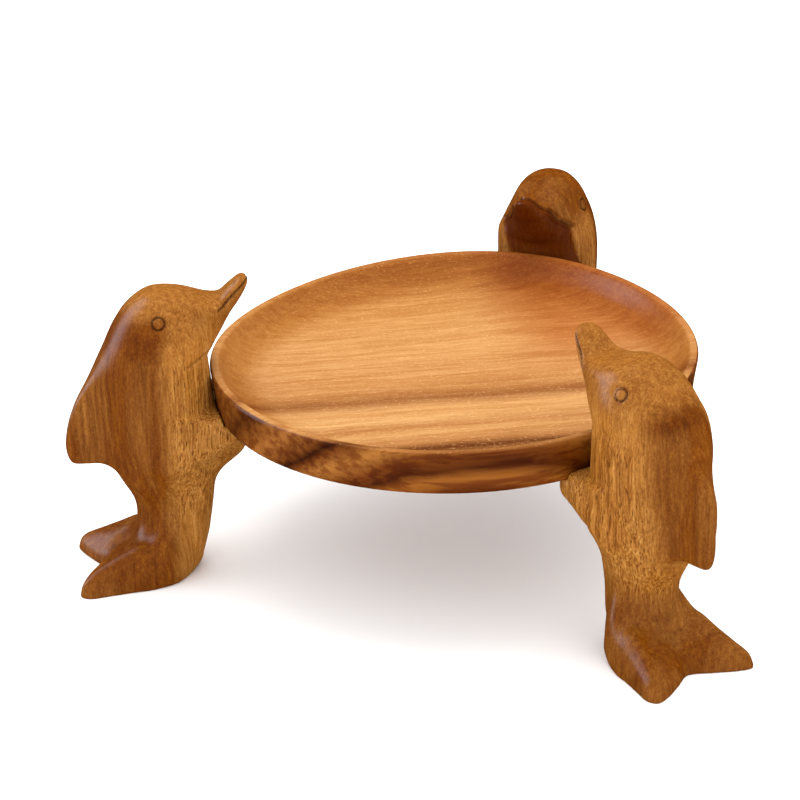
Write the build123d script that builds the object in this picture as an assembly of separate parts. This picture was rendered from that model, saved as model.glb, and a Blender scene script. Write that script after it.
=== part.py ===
"""Round wooden serving bowl carried by three carved dolphins.

The bowl is one turned piece. Each dolphin is one carved block that stands on
its tail flukes, with its chest against the bowl wall and its pectoral flippers
carved together as a ledge under the bowl. Each joint is glued, and pinned by a
blind dowel from the chest into the bowl wall and by two blind pegs, one from
each flipper, up into the bowl floor.

Millimetres, +Z up. The origin is on the bowl's axis, on the plane of the soles.
A dolphin is drawn with the bowl's axis as its own Z axis and its back facing +X.
"""

import os

from build123d import *

# ---- bowl -------------------------------------------------------------
BOWL_RADIUS = 152.0          # outer radius at the rim, a 12 inch bowl
BOWL_FOOT_RADIUS = 149.3     # outer radius at the underside
BOWL_BOTTOM_Z = 108.8
BOWL_TOP_Z = 136.9
RIM_WIDTH = 6.5
FLOOR_RADIUS = 114.0         # flat part of the inside
FLOOR_THICKNESS = 11.5
FOOT_ROUND = 3.0             # rounding of the lower outer edge
LIP_ROUND = 2.2              # rounding of the rim's two edges

# ---- how the dolphins stand round the bowl ----------------------------
# each is (bearing on the bowl, how far the dolphin is turned off that bearing)
DOLPHINS = {
    "dolphin_right": (-52.6, -3.0),
    "dolphin_rear": (69.3, -0.5),
    "dolphin_left": (185.8, 1.1),
}
TURN_RADIUS = 185.0          # a dolphin is turned about this distance from the axis
THROAT_CLEARANCE = 11.6      # room over the rim before the throat overhangs it

# ---- body: level sections, each (height, chest radius, back radius, half width)
BODY = [
    (-6.0, 166.0, 203.0, 10.0),
    (6.0, 164.0, 203.0, 12.5),
    (22.0, 158.2, 203.0, 18.5),
    (43.0, 153.8, 203.5, 21.5),
    (64.0, 151.0, 208.5, 24.5),
    (86.0, 149.5, 214.5, 30.0),
    (110.0, 149.5, 221.5, 32.0),
    (133.0, 151.0, 222.5, 32.0),
]

# ---- head: sections that turn from level to upright
# each is (throat radius, throat height, nape radius, nape height, half width)
HEAD = [
    (151.0, 148.0, 218.0, 153.0, 30.5),
    (149.0, 152.5, 210.0, 169.0, 27.0),
    (146.0, 157.5, 199.0, 181.5, 22.5),
    (142.5, 163.0, 185.5, 190.0, 18.5),
    (139.5, 168.5, 170.0, 190.8, 16.0),
    (137.0, 173.0, 157.0, 186.0, 13.0),
]

# ---- snout ------------------------------------------------------------
SNOUT_ROOT = (147.5, 177.5, 9.4)    # radius from the axis, height, half depth
SNOUT_TIP = (131.3, 190.0, 5.2)
MOUTH_LENGTH = 18.0          # from the tip back to the corner of the mouth
MOUTH_GAP = 1.4
MOUTH_DEPTH = 1.8

# ---- eye: an incised ring ---------------------------------------------
EYE_R = 182.5                # distance from the bowl's axis
EYE_Z = 172.5
EYE_RING_RADIUS = 3.5
EYE_GROOVE_RADIUS = 0.8

# ---- dorsal fin: side outline (radius, height) and plan wedge ----------
FIN_OUTLINE = [
    (218.0, 149.0),
    (229.0, 128.0),
    (239.5, 112.0),
    (243.3, 94.0),
    (242.5, 80.0),
    (232.0, 77.0),
    (218.0, 75.0),
    (207.0, 63.0),
]
FIN_HEEL = [(198.0, 60.0), (198.0, 148.0)]
FIN_ROOT_HALF = 9.0          # half thickness where it leaves the back
FIN_EDGE_HALF = 3.2          # half thickness at the outer edge

# ---- flipper ledge under the bowl -------------------------------------
LEDGE_TIP_R = 131.0
LEDGE_HEEL_R = 186.0
LEDGE_HALF = 33.0            # half width at the top
LEDGE_KEEL_HALF = 15.0       # half width where it dies into the belly
LEDGE_EDGE_Z = 94.0          # underside of the blunt front edge
LEDGE_KEEL_Z = 64.0          # height where it dies into the belly

# ---- flukes -----------------------------------------------------------
# half outline of the sole, from the belly round the tip to the notch
SOLE = [
    (164.5, 0.0),
    (168.0, 9.0),
    (175.0, 18.0),
    (186.0, 26.0),
    (204.0, 31.5),
    (222.0, 36.5),
    (234.0, 38.5),
    (240.5, 34.5),
    (238.5, 25.0),
    (231.5, 13.0),
    (224.0, 0.0),
]
FLUKE_EDGE = 10.0            # height of the upright edge round the sole
FLUKE_CROTCH_Z = 28.0        # height of the crotch behind the tail stock
FLUKE_TOP_Z = 44.0           # height where the flukes meet the tail stock
STOCK_BACK_R = 200.0
STOCK_HALF = 17.0

# ---- dowels and pegs --------------------------------------------------
DOWEL_RADIUS = 3.0
DOWEL_Z = BOWL_BOTTOM_Z + 6.5
DOWEL_INNER_R = 127.0        # blind end inside the bowl
DOWEL_OUTER_R = 180.0        # blind end inside the chest
PEG_RADIUS = 3.0
PEG_R = 141.0                # distance of a peg from the bowl's axis
PEG_SIDE = 17.0              # distance of a peg from the dolphin's middle plane
PEG_FOOT_Z = 90.0            # blind end inside the flipper
PEG_TOP_Z = BOWL_BOTTOM_Z + 7.0


def side(radius, height):
    """A point of a dolphin's middle plane."""
    return Vector(radius, 0, height)


def oval(front, back, half_width):
    """An ellipse across a dolphin, between a front and a back point."""
    along = back - front
    middle = (front + back) * 0.5
    plane = Plane(origin=middle, x_dir=along, z_dir=along.cross(Vector(0, 1, 0)))
    return plane * Ellipse(along.length / 2, half_width)


def make_body():
    """Tail stock, trunk and head as one loft."""
    sections = []
    for height, chest, back, half_width in BODY:
        sections.append(oval(side(chest, height), side(back, height), half_width))
    for throat_r, throat_z, nape_r, nape_z, half_width in HEAD:
        front = side(throat_r, throat_z)
        sections.append(oval(front, side(nape_r, nape_z), half_width))
    return loft(sections)


def make_snout():
    """A blunt cone from inside the head to a round tip."""
    root = side(SNOUT_ROOT[0], SNOUT_ROOT[1])
    tip = side(SNOUT_TIP[0], SNOUT_TIP[1])
    plane = Plane(origin=root, x_dir=Vector(0, 1, 0), z_dir=tip - root)
    length = (tip - root).length
    wide = plane * Circle(SNOUT_ROOT[2])
    narrow = plane.offset(length) * Circle(SNOUT_TIP[2])
    ball = Pos(tip.X, tip.Y, tip.Z) * Sphere(SNOUT_TIP[2])
    return loft([wide, narrow]) + ball


def make_fin():
    """Dorsal fin: the side outline, thinned by a wedge seen from above."""
    edge = Plane.XZ * Spline(*FIN_OUTLINE)
    first = Plane.XZ * Polyline(FIN_OUTLINE[-1], *FIN_HEEL, FIN_OUTLINE[0])
    outline = make_face(edge.edges() + first.edges())
    slab = extrude(outline, amount=2 * FIN_ROOT_HALF, both=True)
    heel = FIN_HEEL[0][0] - 2
    top = max(point[0] for point in FIN_OUTLINE) + 4
    wedge = make_face(
        Polyline(
            (heel, -FIN_ROOT_HALF),
            (top, -FIN_EDGE_HALF),
            (top, FIN_EDGE_HALF),
            (heel, FIN_ROOT_HALF),
            close=True,
        ).edges()
    )
    return slab & extrude(wedge, amount=BOWL_TOP_Z + 40)


def make_ledge():
    """Pectoral flippers: a shelf under the bowl that tapers to the belly."""
    profile = Plane.XZ * make_face(
        Polyline(
            (LEDGE_TIP_R, BOWL_BOTTOM_Z),
            (LEDGE_TIP_R + 1, LEDGE_EDGE_Z),
            (152.0, LEDGE_KEEL_Z),
            (LEDGE_HEEL_R, LEDGE_KEEL_Z),
            (LEDGE_HEEL_R, BOWL_BOTTOM_Z),
            close=True,
        ).edges()
    )
    front = Plane.YZ * make_face(
        Polyline(
            (-LEDGE_HALF, BOWL_BOTTOM_Z),
            (-LEDGE_HALF, LEDGE_EDGE_Z),
            (-LEDGE_KEEL_HALF, LEDGE_KEEL_Z),
            (LEDGE_KEEL_HALF, LEDGE_KEEL_Z),
            (LEDGE_HALF, LEDGE_EDGE_Z),
            (LEDGE_HALF, BOWL_BOTTOM_Z),
            close=True,
        ).edges()
    )
    plan = Pos((LEDGE_TIP_R + LEDGE_HEEL_R) / 2, 0) * RectangleRounded(
        LEDGE_HEEL_R - LEDGE_TIP_R, 2 * LEDGE_HALF, 16
    )
    solid = extrude(plan, amount=BOWL_BOTTOM_Z)
    solid = solid & extrude(profile, amount=LEDGE_HALF + 5, both=True)
    return solid & extrude(front, amount=LEDGE_HEEL_R + 10)


def make_flukes():
    """Tail flukes: the sole's outline, sloping up to the tail stock."""
    mirrored = [(radius, -offset) for radius, offset in reversed(SOLE[1:-1])]
    near = Spline(*SOLE)
    far = Spline(SOLE[-1], *mirrored, SOLE[0])
    solid = extrude(make_face(near.edges() + far.edges()), amount=FLUKE_TOP_Z)
    reach = max(point[0] for point in SOLE) + 4
    profile = Plane.XZ * make_face(
        Polyline(
            (150.0, -1),
            (reach, -1),
            (reach, FLUKE_EDGE),
            (STOCK_BACK_R + 4, FLUKE_CROTCH_Z),
            (STOCK_BACK_R, FLUKE_TOP_Z),
            (150.0, FLUKE_TOP_Z),
            close=True,
        ).edges()
    )
    half = max(point[1] for point in SOLE) + 2
    front = Plane.YZ * make_face(
        Polyline(
            (-half, -1),
            (half, -1),
            (half, FLUKE_EDGE),
            (STOCK_HALF, FLUKE_TOP_Z),
            (-STOCK_HALF, FLUKE_TOP_Z),
            (-half, FLUKE_EDGE),
            close=True,
        ).edges()
    )
    solid = solid & extrude(profile, amount=half + 5, both=True)
    return solid & extrude(front, amount=reach + 10)


def cut_mouth(solid):
    """Cut the mouth line round the snout, no deeper than MOUTH_DEPTH."""
    root = side(SNOUT_ROOT[0], SNOUT_ROOT[1])
    tip = side(SNOUT_TIP[0], SNOUT_TIP[1])
    along = (tip - root).normalized()
    plane = Plane(origin=tip, x_dir=along, z_dir=along.cross(Vector(0, 1, 0)))
    reach = SNOUT_TIP[2] + 1
    length = MOUTH_LENGTH + reach
    slab = plane * (Pos(reach - length / 2, 0, 0) * Box(length, 60, MOUTH_GAP))
    cross = Plane(origin=root, x_dir=Vector(0, 1, 0), z_dir=along)
    wide = cross * Circle(SNOUT_ROOT[2] - MOUTH_DEPTH)
    narrow = cross.offset((tip - root).length) * Circle(SNOUT_TIP[2] - MOUTH_DEPTH)
    core = loft([wide, narrow])
    core = core + Pos(tip.X, tip.Y, tip.Z) * Sphere(SNOUT_TIP[2] - MOUTH_DEPTH)
    return solid - (slab - core)


def cut_eyes(solid):
    """Cut a ring groove round each eye, square to the cheek."""
    for sign in (-1, 1):
        sight = Axis((EYE_R, sign * 60, EYE_Z), (0, -sign, 0))
        point, normal = solid.find_intersection_points(sight)[0]
        if normal.Y * sign < 0:
            normal = -normal
        ring = Torus(EYE_RING_RADIUS, EYE_GROOVE_RADIUS)
        solid = solid - Plane(origin=point, z_dir=normal) * ring
    return solid


def bowl_blank():
    """The bowl's outer shape, filled in and carried up past the rim."""
    clear_z = BOWL_TOP_Z + THROAT_CLEARANCE
    outline = Polyline(
        (0, BOWL_BOTTOM_Z),
        (BOWL_FOOT_RADIUS, BOWL_BOTTOM_Z),
        (BOWL_RADIUS, BOWL_TOP_Z),
        (BOWL_RADIUS, clear_z),
        (0, clear_z),
        close=True,
    )
    return revolve(Plane.XZ * make_face(outline.edges()), Axis.Z)


def make_bowl():
    """Turned bowl with a rolled rim and a coved inside."""
    floor_z = BOWL_BOTTOM_Z + FLOOR_THICKNESS
    inner = BOWL_RADIUS - RIM_WIDTH
    outer = Polyline(
        (0, floor_z),
        (0, BOWL_BOTTOM_Z),
        (BOWL_FOOT_RADIUS, BOWL_BOTTOM_Z),
        (BOWL_RADIUS, BOWL_TOP_Z),
        (inner, BOWL_TOP_Z),
    )
    cove = Bezier(
        (inner, BOWL_TOP_Z),
        (inner - 5.5, floor_z + 3.0),
        (FLOOR_RADIUS + 14, floor_z + 0.2),
        (FLOOR_RADIUS, floor_z),
    )
    floor = Line((FLOOR_RADIUS, floor_z), (0, floor_z))
    outline = make_face(outer.edges() + cove.edges() + floor.edges())
    bowl = revolve(Plane.XZ * outline, Axis.Z)
    circles = bowl.edges().filter_by(GeomType.CIRCLE)
    rim = circles.filter_by_position(Axis.Z, BOWL_TOP_Z - 0.1, BOWL_TOP_Z + 0.1)
    bowl = fillet(rim, LIP_ROUND)
    circles = bowl.edges().filter_by(GeomType.CIRCLE)
    foot = circles.filter_by_position(Axis.Z, BOWL_BOTTOM_Z - 0.1, BOWL_BOTTOM_Z + 0.1)
    return fillet(foot.sort_by(Edge.length)[-1], FOOT_ROUND)


def make_dowel():
    """Blind dowel that runs outward from the bowl into the chest."""
    plane = Plane(origin=(DOWEL_INNER_R, 0, DOWEL_Z), z_dir=(1, 0, 0))
    return extrude(plane * Circle(DOWEL_RADIUS), amount=DOWEL_OUTER_R - DOWEL_INNER_R)


def make_peg(offset):
    """Blind peg that runs up from a flipper into the bowl."""
    rod = extrude(Circle(PEG_RADIUS), amount=PEG_TOP_Z - PEG_FOOT_Z)
    return Pos(PEG_R, offset, PEG_FOOT_Z) * rod


def carve_dolphin():
    """One dolphin's outer shape, with its mouth line and eyes."""
    solid = make_body() + make_snout() + make_fin() + make_ledge() + make_flukes()
    solid = solid - Pos(190, 0, -50) * Box(200, 200, 100)
    return cut_eyes(cut_mouth(solid))


def stand_dolphin(shape, turn, bearing, pins):
    """A dolphin in its place, seated against the bowl and drilled for its pins."""
    turned = Pos(TURN_RADIUS, 0, 0) * Rot(0, 0, turn) * Pos(-TURN_RADIUS, 0, 0) * shape
    solid = Rot(0, 0, bearing) * turned - bowl_blank()
    for pin in pins:
        solid = solid - pin
    return solid


os.makedirs("parts", exist_ok=True)

pins = {"dowel": make_dowel(), "peg_a": make_peg(-PEG_SIDE), "peg_b": make_peg(PEG_SIDE)}
shape = carve_dolphin()
bowl = make_bowl()

for name, (bearing, turn) in DOLPHINS.items():
    placed = {kind: Rot(0, 0, bearing) * pin for kind, pin in pins.items()}
    dolphin = stand_dolphin(shape, turn, bearing, placed.values())
    export_step(dolphin, f"parts/{name}.step")
    for kind, pin in placed.items():
        bowl = bowl - pin
        export_step(pin, f"parts/{name.replace('dolphin', kind)}.step")

export_step(bowl, "parts/bowl.step")
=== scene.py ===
"""Visual model of a round wooden bowl carried by three carved dolphins.

Each dolphin is a carved shape, held as a signed distance field, which is
meshed with surface nets and then pulled onto the field. The bowl is turned
from a profile. Lengths are millimetres until a mesh is made in metres.

A dolphin is carved in its own frame, with the bowl's axis as Z, its back
towards +X, its snout towards the bowl and Y to its right.
"""

import math

import bmesh
import bpy
import numpy as np
from mathutils import Matrix, Vector


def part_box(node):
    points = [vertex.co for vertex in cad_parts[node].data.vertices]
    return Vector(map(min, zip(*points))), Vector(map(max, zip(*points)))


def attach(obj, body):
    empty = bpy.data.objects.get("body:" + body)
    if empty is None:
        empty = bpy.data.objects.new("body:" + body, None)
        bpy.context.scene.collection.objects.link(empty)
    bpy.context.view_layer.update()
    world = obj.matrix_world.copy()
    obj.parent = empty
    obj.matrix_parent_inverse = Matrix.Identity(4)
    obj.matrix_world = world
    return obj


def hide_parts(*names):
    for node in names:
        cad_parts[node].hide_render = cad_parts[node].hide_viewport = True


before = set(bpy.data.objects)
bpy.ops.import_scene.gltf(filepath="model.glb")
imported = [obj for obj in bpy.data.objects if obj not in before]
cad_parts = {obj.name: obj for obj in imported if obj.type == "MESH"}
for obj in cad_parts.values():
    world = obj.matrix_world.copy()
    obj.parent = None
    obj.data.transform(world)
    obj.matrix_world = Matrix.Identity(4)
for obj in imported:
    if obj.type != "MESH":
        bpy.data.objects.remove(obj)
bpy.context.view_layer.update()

MM = 0.001

# ---- the bowl, from the CAD's own box ---------------------------------
BOWL_LOW, BOWL_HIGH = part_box("bowl")
BOWL_BOTTOM = BOWL_LOW[2] / MM
BOWL_TOP = BOWL_HIGH[2] / MM
BOWL_RADIUS = (BOWL_HIGH[0] - BOWL_LOW[0]) / 2 / MM
BOWL_FOOT_RADIUS = BOWL_RADIUS - 2.6
RIM_WIDTH = 6.5
# the rim's warp: (bearing in degrees, reach in degrees, height) of each swell
BOWL_WARP = [(74, 37, 5.3), (148, 30, -2.7), (280, 45, -0.7)]
BOWL_SPREAD = (0.6, 0.5, 0.3)  # extra radius, its swing, and the swing's bearing in radians
FLOOR_RADIUS = 114.0
FLOOR_HEIGHT = BOWL_BOTTOM + 11.5
BOWL_TURNS = 384             # points round each ring of the bowl

# ---- how each dolphin differs from the others -------------------------
# turn: how far it is turned off its bearing, in degrees, about TURN_RADIUS
# lean: (height, sideways shift) pairs
# girth: (height, factor) pairs, how much wider than the sections
# swell: (height, factor) pairs, how much fuller its back is
# flukes: for the lobes towards -Y and +Y, how much lower and how much shorter
# droop: how far the snout hangs, per millimetre of its reach
# lift: how much higher the hand-fitted bowl sits in its seat
# mouth: side view of the mouth line, with its depth and half width
# lip: how far the upper lip stands out above it
# eye: where each eye is cut, mirrored; eye_scoop: how deep its front corner is
# creases: how deep the creases are, as a factor
# stain_and_shade: how much more staining this block took up; on the rear dolphin part of it is painted shade
# on its face, which is turned away from the lights
# stain_from: how far out its dark flanks begin
# pale_foot: how far the front of its foot stays free of stain
# chin: how far the chin is cut back and darkened, partly stained and partly painted shade under the mouth
# line
# block: where in the wood's grain it is carved from
TURN_RADIUS = 185.0
DOLPHINS = {
    "left": {
        "turn": 1.1,
        "lean": [(150.0, 0.0)],
        "girth": [(150.0, 1.0)],
        "swell": [(150.0, 1.0)],
        "flukes": [(1.8, 0.0), (0.0, -0.8)],
        "droop": 0.0,
        "lift": -0.9,
        "mouth": [(125.0, 194.0), (130.5, 189.8), (137.0, 184.2), (142.0, 179.6), (145.0, 177.2)],
        "mouth_cut": (1.5, 0.75),
        "lip": 0.3,
        "eye": (182.5, 20.5, 174.4),
        "eye_scoop": 0.0,
        "creases": 1.0,
        "stain_and_shade": 0.0,
        "stain_from": 172.0,
        "pale_foot": 0.8,
        "chin": 0.0,
        "block": (0.0, 0.0, 0.0),
    },
    "right": {
        "turn": -3.0,
        "lean": [(30.0, 0.0), (150.0, 2.2), (165.0, -1.2), (195.0, -3.0)],
        "girth": [(150.0, 1.0), (165.0, 1.07), (182.0, 1.18)],
        "swell": [(75.0, 1.0), (98.0, 1.04), (118.0, 1.16), (150.0, 1.21), (163.0, 1.3), (172.0, 1.28),
                  (188.0, 1.08)],
        "flukes": [(0.0, 0.0), (2.4, -0.5)],
        "droop": 0.0,
        "lift": 0.0,
        "mouth": [(125.0, 194.0), (130.5, 189.8), (137.0, 184.2), (143.0, 178.6), (148.0, 174.5)],
        "mouth_cut": (1.5, 0.75),
        "lip": 0.3,
        "eye": (190.5, 22.0, 175.5),
        "eye_scoop": 2.4,
        "creases": 1.0,
        "stain_and_shade": 0.0,
        "stain_from": 203.0,
        "pale_foot": 0.0,
        "chin": 0.0,
        "block": (310.0, 120.0, 45.0),
    },
    "rear": {
        "turn": -0.5,
        "lean": [(150.0, 0.0), (195.0, -4.0)],
        "girth": [(150.0, 1.0), (168.0, 0.94)],
        "swell": [(150.0, 1.0)],
        "flukes": [(0.0, 0.0), (0.0, 0.0)],
        "droop": 0.16,
        "lift": 4.4,
        "mouth": [(123.0, 193.5), (130.5, 188.6), (137.0, 183.2), (143.5, 177.5), (149.0, 172.6),
                  (152.0, 168.6), (157.5, 164.2), (163.5, 159.8)],
        "mouth_cut": (3.2, 1.3),
        "lip": 0.9,
        "eye": (182.0, 21.0, 166.5),
        "eye_scoop": 2.0,
        "creases": 0.0,
        # partly staining, partly painted shade on the face, which is turned away from the lights
        "stain_and_shade": 0.45,
        "stain_from": 180.0,
        "pale_foot": 0.0,
        "chin": 1.0,
        "block": (-240.0, 370.0, 90.0),
    },
}

# ---- trunk and head: sections from the tail stock to the snout's tip ---
# each is (front radius, front height, back radius, back height, half width)
SECTIONS = [
    (186.0, -8.0, 203.0, -8.0, 3.0),
    (170.0, 0.0, 203.0, 0.0, 10.0),
    (163.5, 9.0, 203.0, 9.0, 15.0),
    (158.5, 22.0, 203.0, 22.0, 20.8),
    (154.5, 43.0, 202.5, 43.0, 19.4),
    (151.8, 64.0, 205.5, 64.0, 22.4),
    (149.5, 86.0, 208.5, 86.0, 29.5),
    (149.5, 110.0, 213.5, 110.0, 32.0),
    (151.0, 132.0, 216.4, 134.0, 32.5),
    (151.5, 147.5, 213.5, 151.0, 31.8),
    (149.5, 151.5, 209.8, 166.2, 29.2),
    (146.5, 156.5, 201.8, 179.4, 25.5),
    (143.0, 162.0, 188.0, 189.2, 20.5),
    (139.7, 168.0, 171.5, 189.0, 17.0),
    (136.2, 173.7, 157.0, 184.0, 13.7),
    (132.5, 178.7, 146.0, 183.0, 11.0),
    (129.3, 183.5, 138.2, 189.3, 8.8),
    (127.0, 187.5, 132.0, 194.2, 7.0),
    (126.2, 190.0, 129.0, 195.0, 5.2),
    (126.0, 192.0, 126.6, 194.2, 2.0),
]
SECTION_POWER = 2.3          # 2 is an ellipse; more is squarer

# ---- dorsal fin, side outline -----------------------------------------
FIN = [
    (200.0, 156.0), (211.5, 149.2), (222.7, 136.4), (233.5, 122.5), (240.0, 108.5), (243.5, 95.0),
    (243.8, 84.0), (240.5, 76.6), (232.0, 76.1), (222.0, 76.6), (213.0, 74.0), (204.0, 66.0),
    (194.0, 64.0), (190.0, 78.0), (188.0, 118.0), (190.0, 148.0),
]
FIN_ROOT_HALF = 11.5
FIN_EDGE_HALF = 3.0
FIN_ROOT_R = 205.0
FIN_EDGE_R = 243.0
FIN_EDGE_ROUND = 4.0

# ---- flukes: half outline of the sole, and how high they stand ---------
SOLE = [
    (163.0, 0.0), (165.5, 11.5), (171.0, 21.5), (180.0, 30.0), (193.5, 34.0), (209.0, 35.5),
    (223.5, 38.0), (234.5, 39.5), (240.8, 35.0), (238.0, 25.0), (231.5, 13.0), (224.5, 0.0),
]
FLUKE_EDGE = 4.0             # height of the flukes' upright edge
DOME_REACH = 12.0            # how far in the lobes round up from it
CROTCH_R = 202.0
CROTCH_HEIGHT = 21.5         # top of the flukes just behind the tail stock
CROTCH_FALL = 0.40           # how fast it falls towards the notch
CREST_HEIGHT = 28.0          # a crest runs from the tail stock down to each tip
CREST_FALL = 0.43
CREST_SPREAD = (13.0, 0.62)  # the crests' distance from the middle, and how it grows
HEEL_ROUND = (7.0, 14.0, 45.0)  # how far, how high and how far back the belly rolls under

# ---- eyes, mouth and chin ----------------------------------------------
EYE_RING = 3.9
EYE_GROOVE_DEPTH = 1.3
EYE_GROOVE_HALF = 0.6
EYE_BALL_EDGE = 0.9          # how far inside the ring the eyeball's edge lies
EYE_BALL_RISE = 0.5
SCOOP_OFFSET = (-3.0, 0.0, 0.6)
SCOOP_REACH = 4.2
LIP_ABOVE = 2.4              # from the mouth line to the middle of the upper lip
LIP_HALF = 1.2
CHIN_CUT = 1.4

# ---- creases on both sides: points to follow, depth and half width ------
CREASES = [
    # from the throat's corner on to the cheek
    ([(153.6, 15.5, 152.1), (158.3, 20.8, 150.8), (163.0, 24.9, 148.9), (166.2, 27.0, 147.4)], 1.7, 0.9),
    # round the root of the flipper
    ([(160.5, 32.0, 110.0), (167.9, 33.6, 101.4), (166.6, 34.2, 91.3), (160.6, 25.6, 77.9),
      (154.9, 17.4, 69.5)], 1.3, 2.4),
]
FINE_CREASE = 1.5            # creases narrower than this are meshed finely

# ---- surfaces ----------------------------------------------------------
BUMP_DISTANCE = 0.0003       # metres
COAT_ROUGHNESS = 0.3
WOOD_COAT = 0.2
GRADE = 0.6                  # how far the bowl's colours are taken down
LAYER_REACH = 165.0          # the bowl's wood is layered from minus this to plus this

# ---- camera and lights -------------------------------------------------
CAMERA_PITCH = 23.56         # degrees down
CAMERA_ROLL = -0.0251        # radians
CAMERA_DISTANCE = 2.146      # metres from the middle of the rim
CAMERA_LENS = 154.9
CAMERA_SHIFT = (-0.0665, -0.065)
LIGHTS_AIM = (0.0, 0.0, 0.1)
FLOOR_HALF = 6.0             # metres
SKY_STRENGTH = 1.6

# ---- meshing -----------------------------------------------------------
MESH_STEP = 1.15
MESH_LOW = (118.0, -48.0, -4.0)
MESH_HIGH = (252.0, 48.0, 204.0)
REFINE_WITHIN = (3.5, 2.0)   # edges this near a fine cut are split, round by round
HOLLOW_ROUNDS = 40           # smoothing rounds that hollows are measured against
CUT_SHADE_HALF = 0.75        # how far to each side of a fine cut the painted shade reaches


# =======================================================================
# Curves, tables and blends
# =======================================================================

def catmull(rows, steps, closed=False):
    """A smooth curve through rows, with so many steps between neighbours."""
    rows = np.array(rows, float)
    if closed:
        padded = np.vstack([rows[-1], rows, rows[:2]])
    else:
        padded = np.vstack([2 * rows[0] - rows[1], rows, 2 * rows[-1] - rows[-2]])
    t = np.linspace(0, 1, steps, endpoint=False)[:, None]
    parts = []
    for a, b, c, d in zip(padded, padded[1:], padded[2:], padded[3:]):
        cubic = (2 * a - 5 * b + 4 * c - d) * t**2 + (3 * b - a - 3 * c + d) * t**3
        parts.append(0.5 * (2 * b + (c - a) * t + cubic))
    if not closed:
        parts.append(rows[-1:])
    return np.vstack(parts)


def smooth_min(a, b, reach):
    """The lower of two fields, blended where they are within reach."""
    h = np.clip(0.5 + 0.5 * (b - a) / reach, 0, 1)
    return b + (a - b) * h - reach * h * (1 - h)


def smooth_max(a, b, reach):
    return -smooth_min(-a, -b, reach)


def step_up(value, low, high):
    """0 below low, 1 above high, smooth between."""
    t = np.clip((value - low) / (high - low), 0, 1)
    return t * t * (3 - 2 * t)


def blur(values, reach):
    """A box blur of a table along both its directions."""
    for axis in (0, 1):
        pad = [(0, 0), (0, 0)]
        pad[axis] = (reach, reach)
        padded = np.pad(values, pad, mode="edge")
        size = values.shape[axis]
        runs = [np.take(padded, range(k, k + size), axis) for k in range(2 * reach + 1)]
        values = sum(runs) / len(runs)
    return values


def segment_distance(x, y, start, end):
    """Distance in a plane from points to one segment."""
    along = end - start
    t = np.clip(((x - start[0]) * along[0] + (y - start[1]) * along[1]) / (along @ along), 0, 1)
    return np.hypot(x - start[0] - t * along[0], y - start[1] - t * along[1])


def line_distance(x, y, line):
    """Distance in a plane from points to an open line."""
    return np.minimum.reduce([segment_distance(x, y, a, b) for a, b in zip(line, line[1:])])


def outline_distance(x, y, outline):
    """Signed distance in a plane to a closed outline, negative inside."""
    nearest = np.full(x.shape, np.inf)
    inside = np.zeros(x.shape, bool)
    for a, b in zip(outline, np.roll(outline, -1, 0)):
        nearest = np.minimum(nearest, segment_distance(x, y, a, b))
        crosses = (a[1] > y) != (b[1] > y)
        rise = b[1] - a[1] if abs(b[1] - a[1]) > 1e-9 else 1e-9
        inside ^= crosses & (x < a[0] + (y - a[1]) * (b[0] - a[0]) / rise)
    return np.where(inside, -nearest, nearest)


class Table:
    """Named values on a regular grid over a plane."""

    def __init__(self, low, high, step):
        self.low = low
        self.step = step
        across = np.arange(low[0], high[0] + step / 2, step)
        up = np.arange(low[1], high[1] + step / 2, step)
        self.x, self.y = np.meshgrid(across, up, indexing="ij")
        self.values = {}

    def place(self, x, y):
        """Where points lie on the grid, to read several values from."""
        fx = np.clip((x - self.low[0]) / self.step, 0, self.x.shape[0] - 1.001)
        fy = np.clip((y - self.low[1]) / self.step, 0, self.x.shape[1] - 1.001)
        i, j = fx.astype(int), fy.astype(int)
        return i, j, fx - i, fy - j

    def read(self, name, where):
        i, j, u, v = where
        table = self.values[name]
        near = table[i, j] * (1 - u) + table[i + 1, j] * u
        far = table[i, j + 1] * (1 - u) + table[i + 1, j + 1] * u
        return near * (1 - v) + far * v


# =======================================================================
# The dolphin's field
# =======================================================================

def tabulate_sweep(table, sections):
    """For each point of the side view, its place on the nearest section."""
    rows = catmull(sections, 14)
    front, back, half_width = rows[:, :2], rows[:, 2:4], rows[:, 4]
    half_depth = np.linalg.norm(back - front, axis=1) / 2
    along = (back - front) / (2 * half_depth[:, None])
    forward = np.stack([-along[:, 1], along[:, 0]], 1)
    middle = (front + back) / 2
    points = np.stack([table.x.ravel(), table.y.ravel()], 1)

    def measure(k):
        """Distance along and off the line of section k, point by point."""
        offset = points - middle[k]
        return (offset * along[k]).sum(1), (offset * forward[k]).sum(1)

    nearest = np.zeros(len(points), int)
    best = np.full(len(points), np.inf)
    for k in range(len(rows)):
        u, h = measure(k)
        cost = np.hypot(h, np.maximum(np.abs(u) - half_depth[k], 0))
        closer = cost < best
        best[closer] = cost[closer]
        nearest[closer] = k
    u, h = measure(nearest)
    other = np.clip(nearest + np.where(h > 0, 1, -1), 0, len(rows) - 1)
    other_u, other_h = measure(other)
    total = np.maximum(np.abs(h) + np.abs(other_h), 1e-9)
    share = np.where(other != nearest, np.abs(h) / total, 0.0)
    columns = {
        "along": u * (1 - share) + other_u * share,
        "half_depth": half_depth[nearest] * (1 - share) + half_depth[other] * share,
        "half_width": half_width[nearest] * (1 - share) + half_width[other] * share,
        "past": np.where(other == nearest, np.abs(h), 0.0),
    }
    for name, column in columns.items():
        table.values[name] = blur(column.reshape(table.x.shape), 2)


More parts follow.
